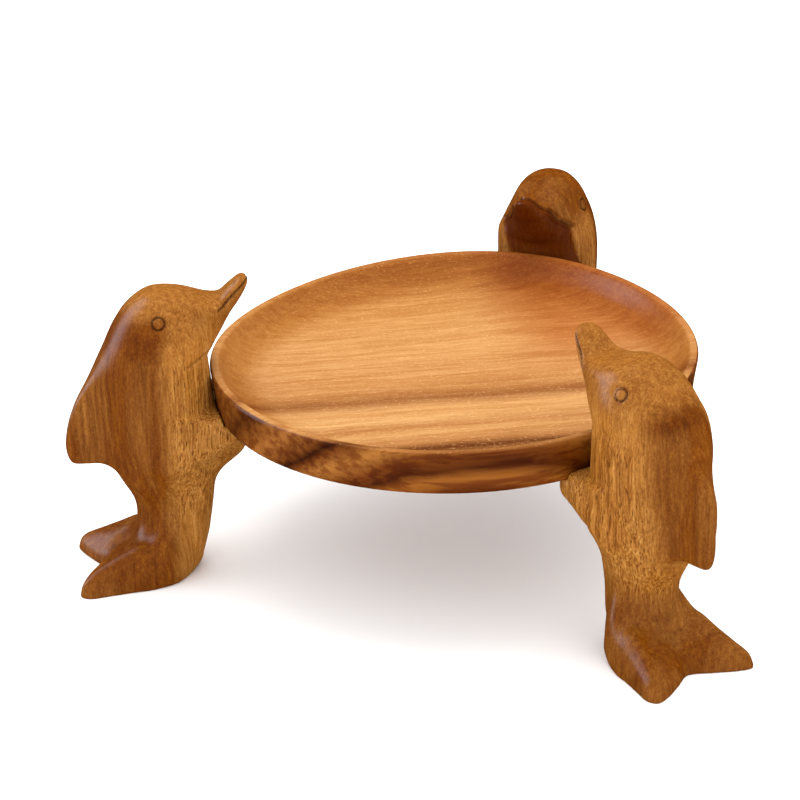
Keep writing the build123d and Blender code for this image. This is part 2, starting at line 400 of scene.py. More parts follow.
def tabulate_flukes(table):
    """The sole's signed distance and the height of the flukes' top."""
    mirrored = [(r, -y) for r, y in reversed(SOLE[1:-1])]
    outline = catmull(SOLE + mirrored, 6, closed=True)
    sole = outline_distance(table.x, table.y, outline)
    inward = np.maximum(-sole, 0)
    behind = table.x - CROTCH_R
    valley = CROTCH_HEIGHT - CROTCH_FALL * behind
    valley = np.where(behind < 0, CROTCH_HEIGHT - 0.9 * behind, valley)
    crest = CREST_HEIGHT - CREST_FALL * np.maximum(behind, 0)
    spread = CREST_SPREAD[0] + CREST_SPREAD[1] * np.maximum(behind, 0)
    share = np.clip(np.abs(table.y) / spread, 0, 1)
    share = share**2 * (3 - 2 * share)
    saddle = blur(np.clip(valley + np.maximum(crest - valley, 0) * share, 7, 50), 8)
    t = np.minimum(inward / DOME_REACH, 1)
    crown = FLUKE_EDGE + (saddle - FLUKE_EDGE) * np.sqrt(1 - (1 - t) ** 2)
    table.values["sole"] = sole
    table.values["crown"] = blur(crown, 2)


SIDE = Table((110.0, -14.0), (262.0, 216.0), 0.5)
PLAN = Table((140.0, -60.0), (260.0, 60.0), 0.5)
tabulate_sweep(SIDE, SECTIONS)
tabulate_flukes(PLAN)
SIDE.values["fin"] = outline_distance(SIDE.x, SIDE.y, catmull(FIN, 6, closed=True))


def capsule(x, y, z, start, end, start_radius, end_radius):
    """A rod with round ends whose radius changes along it."""
    start, end = np.array(start), np.array(end)
    along = end - start
    px, py, pz = x - start[0], y - start[1], z - start[2]
    t = np.clip((px * along[0] + py * along[1] + pz * along[2]) / (along @ along), 0, 1)
    gap = np.sqrt((px - t * along[0]) ** 2 + (py - t * along[1]) ** 2 + (pz - t * along[2]) ** 2)
    return gap - (start_radius + (end_radius - start_radius) * t)


def path_distance(points, line):
    """Distance from points to an open line in space."""
    return np.minimum.reduce([capsule(*points.T, a, b, 0.0, 0.0) for a, b in zip(line, line[1:])])


def trunk_field(y, where):
    """Tail stock, trunk, head and snout: squarish ovals swept along the body."""
    half_depth = SIDE.read("half_depth", where)
    half_width = SIDE.read("half_width", where)
    past = SIDE.read("past", where)
    u = np.abs(SIDE.read("along", where)) / half_depth
    v = np.abs(y) / half_width
    p = SECTION_POWER
    q = (u**p + v**p + 1e-9) ** (1 / p)
    slope = np.hypot(u ** (p - 1) / half_depth, v ** (p - 1) / half_width) / q ** (p - 1) + 1e-6
    d = np.maximum((q - 1) / slope, -12)
    return np.where(past > 0, np.hypot(np.maximum(d, 0), past) + np.minimum(d, 0), d)


def fin_field(x, y, where):
    """Dorsal fin: a slab that thins outward, with a round edge."""
    t = np.clip((x - FIN_ROOT_R) / (FIN_EDGE_R - FIN_ROOT_R), 0, 1)
    half = FIN_ROOT_HALF + (FIN_EDGE_HALF - FIN_ROOT_HALF) * t
    edge = SIDE.read("fin", where) + FIN_EDGE_ROUND
    face = np.abs(y) - half + FIN_EDGE_ROUND
    outer = np.hypot(np.maximum(edge, 0), np.maximum(face, 0))
    return np.minimum(np.maximum(edge, face), 0) + outer - FIN_EDGE_ROUND


def flipper_field(x, y, z):
    """Pectoral flippers: a blunt shelf under the bowl that tapers to the belly."""
    side = np.abs(y)
    under = (78 + 0.035 * y**2 - 0.77 * (x - 133.5) - z) / 1.26
    front = 131 + 20 * (np.minimum(side, 36) / 34) ** 4 - x
    flank = smooth_max(side - 32.5, x - 186, 8)
    shelf = smooth_max(smooth_max(under, front, 7), flank, 7)
    shelf = smooth_max(shelf, z - (BOWL_BOTTOM + 3), 3)
    pad = capsule(x, side, z, (182.0, 22.0, 84.0), (146.0, 24.0, 102.0), 9.5, 10.5)
    return shelf, pad


def turned_out(x, y, turn):
    """Points of a turned dolphin's frame, in the frame of its bearing."""
    c, s = math.cos(math.radians(turn)), math.sin(math.radians(turn))
    out = x - TURN_RADIUS
    return TURN_RADIUS + out * c - y * s, out * s + y * c


def shaped(points, kind):
    """The carved block's field, without its finest cuts."""
    x, y, z = points.T
    r, across = turned_out(x, y, kind["turn"])
    y = (y - np.interp(z, *np.transpose(kind["lean"]))) / np.interp(z, *np.transpose(kind["girth"]))
    swell = np.interp(z, *np.transpose(kind["swell"]))
    x = np.where(x > TURN_RADIUS, TURN_RADIUS + (x - TURN_RADIUS) / swell, x)
    droop = kind["droop"] * np.clip(168 - x, 0, None) * np.clip((z - 150) / 20, 0, 1)
    where = SIDE.place(x, z + droop)
    (low_a, short_a), (low_b, short_b) = kind["flukes"]
    lower = np.where(y < 0, low_a, low_b) * step_up(np.abs(y), 3, 14)
    shorter = np.where(y < 0, short_a, short_b) * step_up(x, 205, 235)
    plan = PLAN.place(x + shorter, y)

    d = trunk_field(y, where)
    inset, height, reach = HEEL_ROUND
    inset = inset * np.clip(1 - z / height, 0, 1) ** 2 * np.clip((200 - x) / reach, 0, 1)
    sole = PLAN.read("sole", plan) + inset
    flukes = smooth_max((z + lower - PLAN.read("crown", plan)) * 0.5, sole, 4.0)
    d = smooth_min(d, flukes, 9.0)
    d = smooth_min(d, fin_field(x, y, where), 20.0)
    shelf, pad = flipper_field(x, y, z)
    d = smooth_min(smooth_min(d, shelf, 7.0), pad, 8.0)

    # the seat against the bowl, and the flat soles
    bottom = BOWL_BOTTOM + kind["lift"]
    wall = BOWL_FOOT_RADIUS + 0.2 + 2.9 * (z - bottom) / (BOWL_TOP - BOWL_BOTTOM)
    seat = smooth_max(np.hypot(r, across) - wall, bottom - 0.3 - z, 0.8)
    seat = smooth_max(seat, z - (BOWL_TOP + 11.6), 2.5)
    d = smooth_max(d, -seat, 1.2)
    return smooth_max(d, -z, 1.2)


class Carving:
    """One dolphin: its field with the mouth line, chin, creases and eyes cut in."""

    def __init__(self, kind):
        self.kind = kind
        self.mouth = line_distance(SIDE.x, SIDE.y, catmull(kind["mouth"], 8))
        both = [np.array([1.0, sign, 1.0]) for sign in (-1, 1)]
        self.eyes = [self.on_surface([kind["eye"] * side])[0] for side in both]
        self.creases = [(self.on_surface(catmull(line * side, 3)), depth, half)
                        for line, depth, half in CREASES for side in both]

    def on_surface(self, points):
        """The points of the uncut surface nearest to given points."""
        return settle(np.array(points), lambda p: shaped(p, self.kind), 6, 3.0)[0]

    def mouth_distance(self, points):
        """Distance to the mouth line, seen from the side."""
        SIDE.values["mouth"] = self.mouth
        return SIDE.read("mouth", SIDE.place(points[:, 0], points[:, 2]))

    def below_mouth(self, points):
        """How far points lie below the mouth line, seen from the side."""
        line = np.array(self.kind["mouth"])
        return np.interp(points[:, 0], line[:, 0], line[:, 1]) - points[:, 2]

    def chin(self, points):
        """1 on the chin and throat, 0 elsewhere."""
        x, y, z = points.T
        right = -29.0 + 0.2 * (z - 133)
        left = 13.0 + 0.4 * (z - 142)
        broad = step_up(y, right - 1.5, right + 3) * (1 - step_up(y, left - 1, left + 6))
        broad = broad * (1 - step_up(x, 168, 174))
        return broad * step_up(self.below_mouth(points), 0.0, 1.6)

    def field(self, points):
        d = shaped(points, self.kind)
        depth, half = self.kind["mouth_cut"]
        gap = self.mouth_distance(points)
        d = d + depth * np.exp(-((gap / half) ** 2)) + CHIN_CUT * self.kind["chin"] * self.chin(points)
        above = self.below_mouth(points) < 0
        d = d - self.kind["lip"] * above * np.exp(-(((gap - LIP_ABOVE) / LIP_HALF) ** 2))
        for line, deep, wide in self.creases:
            gap = path_distance(points, line)
            d = d + self.kind["creases"] * deep * np.exp(-((gap / wide) ** 2))
        for eye in self.eyes:
            gap = np.linalg.norm(points - eye, axis=1)
            groove = np.exp(-(((gap - EYE_RING) / EYE_GROOVE_HALF) ** 2))
            d = d + EYE_GROOVE_DEPTH * groove
            if self.kind["eye_scoop"]:
                scoop = np.linalg.norm(points - eye - SCOOP_OFFSET, axis=1)
                ball = np.clip((gap - EYE_RING + EYE_BALL_EDGE) / EYE_BALL_EDGE, 0, 1)
                d = d + self.kind["eye_scoop"] * ball * np.clip(1 - scoop / SCOOP_REACH, 0, 1)
                d = d - EYE_BALL_RISE * np.clip(1 - (gap / EYE_RING) ** 2, 0, 1)
        return d

    def detail_distance(self, points):
        """Distance to the nearest fine cut."""
        gaps = [np.abs(np.linalg.norm(points - eye, axis=1) - EYE_RING) for eye in self.eyes]
        if self.kind["creases"]:
            fine = [line for line, _, half in self.creases if half < FINE_CREASE]
            gaps += [path_distance(points, line) for line in fine]
        return np.minimum.reduce([self.mouth_distance(points), *gaps])


def slope_of(points, field, step=0.2):
    """The field's gradient, by central differences."""
    columns = []
    for axis in np.eye(3) * step:
        columns.append((field(points + axis) - field(points - axis)) / (2 * step))
    return np.stack(columns, 1)


def settle(points, field, rounds=2, most=0.7):
    """Pull points on to a field's zero level; returns them and their normals."""
    for _ in range(rounds):
        slope = slope_of(points, field)
        steep = np.maximum((slope**2).sum(1), 0.05)
        move = slope * (field(points) / steep)[:, None]
        length = np.linalg.norm(move, axis=1)
        move *= np.minimum(1, most / np.maximum(length, 1e-9))[:, None]
        points = points - move
    slope = slope_of(points, field)
    return points, slope / np.linalg.norm(slope, axis=1)[:, None]


def surface_nets(values, low, step):
    """Vertices and quads along the zero level of a grid of values."""
    inside = values < 0
    shape = np.array(values.shape)
    cells, positions, quads = [], [], []
    for axis in range(3):
        first = np.delete(values, -1, axis)
        second = np.delete(values, 0, axis)
        crossing = (first < 0) != (second < 0)
        corner = np.argwhere(crossing)
        start, end = first[crossing], second[crossing]
        position = corner.astype(float)
        position[:, axis] += start / (start - end)
        side_u = np.eye(3, dtype=int)[(axis + 1) % 3]
        side_v = np.eye(3, dtype=int)[(axis + 2) % 3]
        around = [corner - side_u - side_v, corner - side_v, corner, corner - side_u]
        ids = np.stack([np.ravel_multi_index(cell.T, shape) for cell in around], 1)
        cells.append(ids.ravel())
        positions.append(np.repeat(position, 4, axis=0))
        quads.append(np.where((start < 0)[:, None], ids, ids[:, ::-1]))
    used, index = np.unique(np.concatenate(cells), return_inverse=True)
    positions = np.vstack(positions)
    count = np.bincount(index)
    points = np.stack([np.bincount(index, positions[:, k]) / count for k in range(3)], 1)
    quads = np.searchsorted(used, np.vstack(quads))
    return points * step + np.array(low), quads


def sample_grid(field, low, high, step):
    """A field's values on a regular grid, one slice at a time."""
    axes = [np.arange(a, b, step) for a, b in zip(low, high)]
    y, z = np.meshgrid(axes[1], axes[2], indexing="ij")
    slices = []
    for x in axes[0]:
        points = np.stack([np.full(y.size, x), y.ravel(), z.ravel()], 1)
        slices.append(field(points).reshape(y.shape))
    return np.stack(slices)


# =======================================================================
# Meshes
# =======================================================================

def new_mesh(name, points, faces):
    mesh = bpy.data.meshes.new(name)
    mesh.from_pydata(points.tolist(), [], [list(map(int, face)) for face in faces])
    mesh.polygons.foreach_set("use_smooth", [True] * len(mesh.polygons))
    mesh.update()
    return mesh


def mesh_points(mesh):
    flat = np.empty(len(mesh.vertices) * 3)
    mesh.vertices.foreach_get("co", flat)
    return flat.reshape(-1, 3)


def set_points(mesh, points):
    mesh.vertices.foreach_set("co", points.ravel())
    mesh.update()


def refine(mesh, distance, limit):
    """Split the edges that lie within limit of a fine cut."""
    near = distance(mesh_points(mesh)) < limit
    shape = bmesh.new()
    shape.from_mesh(mesh)
    shape.verts.ensure_lookup_table()
    edges = [e for e in shape.edges if near[e.verts[0].index] and near[e.verts[1].index]]
    bmesh.ops.subdivide_edges(shape, edges=edges, cuts=1, use_grid_fill=True)
    shape.to_mesh(mesh)
    shape.free()


def add_attribute(mesh, name, kind, values):
    layer = mesh.attributes.new(name, kind, "POINT")
    layer.data.foreach_set("vector" if kind == "FLOAT_VECTOR" else "value", values.ravel())


def hollowness(mesh, normals, rounds):
    """How far each vertex lies below its smoothed surroundings, in mm."""
    flat = np.empty(len(mesh.edges) * 2, np.int32)
    mesh.edges.foreach_get("vertices", flat)
    a, b = flat.reshape(-1, 2).T
    points = mesh_points(mesh)
    count = np.bincount(a, minlength=len(points)) + np.bincount(b, minlength=len(points))
    smooth = points.copy()
    for _ in range(rounds):
        for k in range(3):
            total = np.bincount(a, smooth[b, k], len(points))
            total += np.bincount(b, smooth[a, k], len(points))
            smooth[:, k] = 0.4 * smooth[:, k] + 0.6 * total / count
    return ((smooth - points) * normals).sum(1)


def stain_and_shade_depth(points, carving):
    """How dark each place is: 0 on the belly, near 1 on the flanks and flukes from staining, more on the
    chin and the rear dolphin's face, partly painted shade.
    """
    x, _, z = points.T
    kind = carving.kind
    start = kind["stain_from"]
    flank = step_up(x, start, start + 18) * (1 - step_up(z, 162, 184))
    flank = flank * (1 - 0.15 * step_up(x, 218, 236))
    front = 1 - step_up(x, 172, 186)
    flukes = (1 - step_up(z, 32, 62)) * (1 - kind["pale_foot"] * front)
    head = 0.5 * step_up(z, 150, 175)
    # the rear dolphin's extra darkening is partly painted shade on its face
    dark = np.maximum(0.95 * flank, 0.8 * flukes) + head + kind["stain_and_shade"]
    # under the mouth line the chin is darkened, partly staining and partly painted shade
    return np.clip(dark + 1.3 * kind["chin"] * carving.chin(points), 0, 1.6)


def open_grain(points, kind):
    """Where the pores stand open: the belly and the chest."""
    x, _, z = points.T
    edge = kind["stain_from"]
    return (1 - step_up(x, edge, edge + 16)) * step_up(z, 30, 52) * (1 - 0.75 * step_up(z, 138, 160))


def add_piece(name, mesh, material, node):
    """Put a mesh in the scene as a piece that stands for a CAD node."""
    piece = bpy.data.objects.new(name, mesh)
    bpy.context.collection.objects.link(piece)
    mesh.materials.append(material)
    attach(piece, "root")
    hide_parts(node)
    return piece


def carve_dolphin(which, kind, material):
    """One dolphin, set on the bearing of its CAD dowel."""
    low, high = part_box(f"dowel_{which}")
    bearing = math.atan2(low[1] + high[1], low[0] + high[0])
    carving = Carving(kind)
    values = sample_grid(lambda p: shaped(p, kind), MESH_LOW, MESH_HIGH, MESH_STEP)
    points, quads = surface_nets(values, MESH_LOW, MESH_STEP)
    mesh = new_mesh(f"dolphin_{which}_carved", points, quads)
    for limit in REFINE_WITHIN:
        refine(mesh, carving.detail_distance, limit)
    points, normals = settle(mesh_points(mesh), carving.field)
    set_points(mesh, points)
    add_attribute(mesh, "hollow", "FLOAT", hollowness(mesh, normals, HOLLOW_ROUNDS))
    add_attribute(mesh, "stain_and_shade", "FLOAT", stain_and_shade_depth(points, carving))
    add_attribute(mesh, "open_grain", "FLOAT", open_grain(points, kind))
    # closeness to the fine cuts, for the painted shade along them
    gap = carving.detail_distance(points)
    add_attribute(mesh, "cut", "FLOAT", np.exp(-((gap / CUT_SHADE_HALF) ** 2)))
    add_attribute(mesh, "grain", "FLOAT_VECTOR", points + np.array(kind["block"]))
    r, across = turned_out(points[:, 0], points[:, 1], kind["turn"])
    placed = np.stack([r, across, points[:, 2]], 1) * MM
    set_points(mesh, placed)
    mesh.transform(Matrix.Rotation(bearing, 4, "Z"))
    return add_piece(f"dolphin_{which}_carved", mesh, material, f"dolphin_{which}")


def bowl_profile():
    """Half section of the bowl, from the middle of its floor to its underside."""
    inner = BOWL_RADIUS - RIM_WIDTH
    floor = [(r, FLOOR_HEIGHT) for r in np.linspace(0, FLOOR_RADIUS - 6, 26)]
    cove = catmull(
        [(FLOOR_RADIUS, FLOOR_HEIGHT + 0.05), (FLOOR_RADIUS + 12, FLOOR_HEIGHT + 1.3),
         (FLOOR_RADIUS + 21, FLOOR_HEIGHT + 4.6), (inner - 5, FLOOR_HEIGHT + 9.0),
         (inner - 1.4, BOWL_TOP - 3.0), (inner + 0.4, BOWL_TOP - 1.0), (inner + 1.9, BOWL_TOP - 0.1),
         (BOWL_RADIUS - 2.2, BOWL_TOP), (BOWL_RADIUS - 0.7, BOWL_TOP - 0.7),
         (BOWL_RADIUS - 0.05, BOWL_TOP - 2.4)], 6)
    wall = [(BOWL_RADIUS - 0.05 - 2.5 * t, BOWL_TOP - 2.4 - (BOWL_TOP - BOWL_BOTTOM - 5.2) * t)
            for t in np.linspace(0.06, 0.94, 14)]
    foot = catmull(
        [(BOWL_FOOT_RADIUS, BOWL_BOTTOM + 2.8), (BOWL_FOOT_RADIUS - 0.9, BOWL_BOTTOM + 0.8),
         (BOWL_FOOT_RADIUS - 2.9, BOWL_BOTTOM), (126.0, BOWL_BOTTOM), (122.0, BOWL_BOTTOM + 0.3),
         (119.0, BOWL_BOTTOM + 0.9), (115.0, BOWL_BOTTOM + 1.0)], 5)
    under = [(r, BOWL_BOTTOM + 1.0) for r in np.linspace(108, 0, 22)]
    return np.vstack([floor, cove, wall, foot, under])


def turn_bowl(material):
    """The bowl: turned from its profile, then warped as its rim is."""
    profile = bowl_profile()
    turns = BOWL_TURNS
    angle = np.arange(turns) * 2 * math.pi / turns
    ring = profile[1:-1]
    wobble = 0.25 * np.sin(2 * angle + 0.6) + 0.15 * np.sin(3 * angle + 2.0)
    lift = np.clip((ring[:, 1] - FLOOR_HEIGHT) / (BOWL_TOP - FLOOR_HEIGHT), 0, 1)
    spread = BOWL_SPREAD[0] + BOWL_SPREAD[1] * np.cos(angle - BOWL_SPREAD[2])
    r = ring[:, 0][:, None] + lift[:, None] * spread[None]
    z = ring[:, 1][:, None] - lift[:, None] * (0.4 + wobble)[None]
    points = np.stack([r * np.cos(angle), r * np.sin(angle), z], 2).reshape(-1, 3)
    points = np.vstack([points, [0, 0, profile[0, 1]], [0, 0, profile[-1, 1]]])
    bearing = np.degrees(np.arctan2(points[:, 1], points[:, 0]))
    rise = np.zeros(len(points))
    for middle, reach, height in BOWL_WARP:
        away = (bearing - middle + 180) % 360 - 180
        rise += height * np.exp(-((away / reach) ** 2))
    share = np.hypot(points[:, 0], points[:, 1]) / BOWL_RADIUS
    warped = points.copy()
    warped[:, 2] += rise * share**2
    rows, columns = np.meshgrid(np.arange(len(ring) - 1), np.arange(turns), indexing="ij")
    after = (columns + 1) % turns
    quads = np.stack([rows * turns + columns, (rows + 1) * turns + columns,
                      (rows + 1) * turns + after, rows * turns + after], 2).reshape(-1, 4)
    top, bottom = len(points) - 2, len(points) - 1
    last = (len(ring) - 1) * turns
    fans = [(top, k, (k + 1) % turns) for k in range(turns)]
    fans += [(bottom, last + (k + 1) % turns, last + k) for k in range(turns)]
    mesh = new_mesh("bowl_turned", warped * MM, quads.tolist() + fans)
    distance = np.append(np.repeat(ring[:, 0], turns), [0, 0])
    outside = step_up(distance, BOWL_RADIUS - 1.6, BOWL_RADIUS - 0.6)
    outside = np.maximum(outside, points[:, 2] < BOWL_TOP - 3.5) * (distance > BOWL_FOOT_RADIUS - 1)
    outside = np.maximum(outside, points[:, 2] < FLOOR_HEIGHT - 2)
    add_attribute(mesh, "outside", "FLOAT", outside.astype(float))
    # cove: darker towards the wall, but low again on the rim's top, which shows lighter as a painted
    # highlight
    add_attribute(mesh, "cove", "FLOAT", step_up(distance, FLOOR_RADIUS + 2, FLOOR_RADIUS + 22)
                  * (1 - 0.7 * step_up(distance, BOWL_RADIUS - RIM_WIDTH, BOWL_RADIUS - 4.5)))
    add_attribute(mesh, "grain", "FLOAT_VECTOR", points)
    return add_piece("bowl_turned", mesh, material, "bowl")


# =======================================================================
# Materials
# =======================================================================

class Graph:
    """Short calls for building a material's node tree."""

    def __init__(self, name):
        self.material = bpy.data.materials.new(name)
        self.material.use_nodes = True
        self.tree = self.material.node_tree
        self.tree.nodes.clear()

    def add(self, kind, inputs=(), out=0, **settings):
        """Add a node; inputs are (socket, number or socket), out picks its output."""
        node = self.tree.nodes.new(kind)
        for key, value in settings.items():
            setattr(node, key, value)
        for socket, value in dict(inputs).items():
            if isinstance(value, bpy.types.NodeSocket):
                self.tree.links.new(value, node.inputs[socket])
            else:
                node.inputs[socket].default_value = value
        return node.outputs[out]

    def attribute(self, name, out):
        return self.add("ShaderNodeAttribute", attribute_name=name, out=out)

    def math(self, operation, a, b=0.0, c=0.0, clamp=False):
        return self.add("ShaderNodeMath", {0: a, 1: b, 2: c}, operation=operation, use_clamp=clamp)

    def stretch(self, vector, scale):
        return self.add("ShaderNodeVectorMath", {0: vector, 1: scale}, operation="MULTIPLY")

    def noise(self, vector, scale, detail=2.0, rough=0.5):
        inputs = {"Vector": self.stretch(vector, scale), "Scale": 1.0, "Detail": detail,
                  "Roughness": rough}
        return self.add("ShaderNodeTexNoise", inputs)

    def band(self, value, low, high, bottom=0.0, top=1.0):
        """Map low..high to bottom..top, smoothly."""
        inputs = {"Value": value, 1: low, 2: high, 3: bottom, 4: top}
        return self.add("ShaderNodeMapRange", inputs, interpolation_type="SMOOTHSTEP")

    def ramp(self, value, stops):
        node = self.tree.nodes.new("ShaderNodeValToRGB")
        self.tree.links.new(value, node.inputs[0])
        marks = node.color_ramp.elements
        while len(marks) < len(stops):
            marks.new(0.5)
        for mark, (position, colour) in zip(marks, stops):
            mark.position = position
            mark.color = (*colour, 1)
        return node.outputs[0]

    def mix(self, share, a, b, blend="MIX"):
        inputs = {0: share, 6: a, 7: b}
        return self.add("ShaderNodeMix", inputs, out=2, data_type="RGBA", blend_type=blend)

    def warp(self, vector, scale, amount):
        """Move a vector about by a slow noise."""
        inputs = {"Vector": self.stretch(vector, scale), "Scale": 1.0, "Detail": 2.0}
        drift = self.add("ShaderNodeTexNoise", inputs, out=1)
        centred = self.add("ShaderNodeVectorMath", {0: drift, 1: (0.5, 0.5, 0.5)}, operation="SUBTRACT")
        scaled = self.stretch(centred, amount)
        return self.add("ShaderNodeVectorMath", {0: vector, 1: scaled}, operation="ADD")

    def finish(self, colour, roughness, height, bump, coat):
        """A matt surface with a thin coat, which alone carries the gloss."""
        inputs = {"Height": height, "Strength": bump, "Distance": BUMP_DISTANCE}
        normal = self.add("ShaderNodeBump", inputs)
        inputs = {"Base Color": colour, "Roughness": roughness, "Normal": normal,
                  "Coat Weight": coat, "Coat Roughness": COAT_ROUGHNESS, "IOR": 1.5,
                  "Specular IOR Level": 0.0}
        shader = self.add("ShaderNodeBsdfPrincipled", inputs)
        output = self.tree.nodes.new("ShaderNodeOutputMaterial")
        self.tree.links.new(shader, output.inputs["Surface"])
        return self.material


def srgb(red, green, blue):
    """A colour given as 0 to 255 values, made linear."""
    def line(value):
        value /= 255
        return value / 12.92 if value < 0.04045 else ((value + 0.055) / 1.055) ** 2.4
    return line(red), line(green), line(blue)


def dolphin_wood():
    """Mid-brown wood, upright grain with short dark pores, with painted shade in hollows and painted light
    on ridges.
    """
    g = Graph("dolphin_wood_carved")
    grain = g.attribute("grain", 1)
    hollow = g.attribute("hollow", 2)
    stain_and_shade = g.attribute("stain_and_shade", 2)
    open_grain_here = g.attribute("open_grain", 2)
    cut = g.attribute("cut", 2)
    moved = g.warp(grain, (0.03, 0.03, 0.012), (9.0, 9.0, 5.0))
    broad = g.noise(moved, (0.055, 0.055, 0.008), 3.0, 0.55)
    streak = g.noise(moved, (0.36, 0.36, 0.016), 3.0, 0.6)
    fibre = g.noise(moved, (1.4, 1.4, 0.07), 2.0, 0.6)
    fleck = g.noise(moved, (0.95, 0.95, 0.5), 2.0, 0.6)

    tone = g.math("ADD", g.math("MULTIPLY", broad, 0.30), g.math("MULTIPLY", streak, 0.30))
    tone = g.math("ADD", tone, g.math("MULTIPLY", fibre, 0.18))
    tone = g.math("ADD", tone, g.math("MULTIPLY", fleck, 0.22))
    cord = g.band(g.noise(moved, (0.95, 0.95, 0.02), 2.0, 0.5), 0.38, 0.62)
    light = g.ramp(tone, [(0.38, srgb(126, 74, 21)), (0.48, srgb(157, 101, 40)),
                          (0.56, srgb(178, 124, 58)), (0.66, srgb(204, 154, 90))])
    corded = g.mix(1.0, light, (*srgb(204, 190, 168), 1), "MULTIPLY")
    light = g.mix(g.math("MULTIPLY", cord, open_grain_here), light, corded)
    dark = g.ramp(tone, [(0.38, srgb(72, 31, 1)), (0.48, srgb(94, 45, 3)),
                         (0.56, srgb(110, 58, 6)), (0.66, srgb(134, 78, 17))])
    uneven = g.math("MULTIPLY_ADD", broad, 1.6, -0.8)
    taken = g.math("ADD", stain_and_shade, uneven, clamp=True)
    colour = g.mix(taken, light, dark)
    # the most darkened places go darker still; on the chin this is partly painted shade
    soaked_and_shaded = g.band(stain_and_shade, 1.0, 1.6)
    colour = g.mix(g.math("MULTIPLY", soaked_and_shaded, 0.6), colour, (*srgb(72, 24, 2), 1))

    # pores: long thin cells, cut across to dots on the crown of the head
    cells = g.add("ShaderNodeTexVoronoi", {"Vector": g.stretch(moved, (0.62, 0.62, 0.11)), "Scale": 1.0})
    pore = g.band(cells, 0.16, 0.27, 1.0, 0.0)
    more = g.add("ShaderNodeTexVoronoi", {"Vector": g.stretch(moved, (1.1, 1.1, 0.22)), "Scale": 1.0})
    small = g.band(more, 0.12, 0.26, 0.75, 0.0)
    openness = g.math("MULTIPLY_ADD", open_grain_here, 0.55, 0.14)
    pore = g.math("MULTIPLY", g.math("MAXIMUM", pore, small), openness)
    colour = g.mix(pore, colour, (*srgb(62, 26, 2), 1))

    # painted shade darkens the hollows and painted light brightens the ridges
    deep = g.band(hollow, 0.1, 2.6, 0.0, 0.85)
    colour = g.mix(deep, colour, (*srgb(74, 32, 3), 1))
    # painted shade along the mouth line, the creases and the eye rings
    colour = g.mix(g.math("MULTIPLY", cut, 0.85), colour, (*srgb(46, 18, 2), 1))
    painted_ridge_light = g.band(hollow, -1.8, -5.0, 0.0, 0.3)
    colour = g.mix(painted_ridge_light, colour, (*srgb(176, 116, 38), 1))

    rough = g.band(fleck, 0.3, 0.7, 0.44, 0.54)
    height = g.math("SUBTRACT", g.math("MULTIPLY", fibre, 0.35), pore)
    return g.finish(colour, rough, height, bump=0.6, coat=WOOD_COAT)


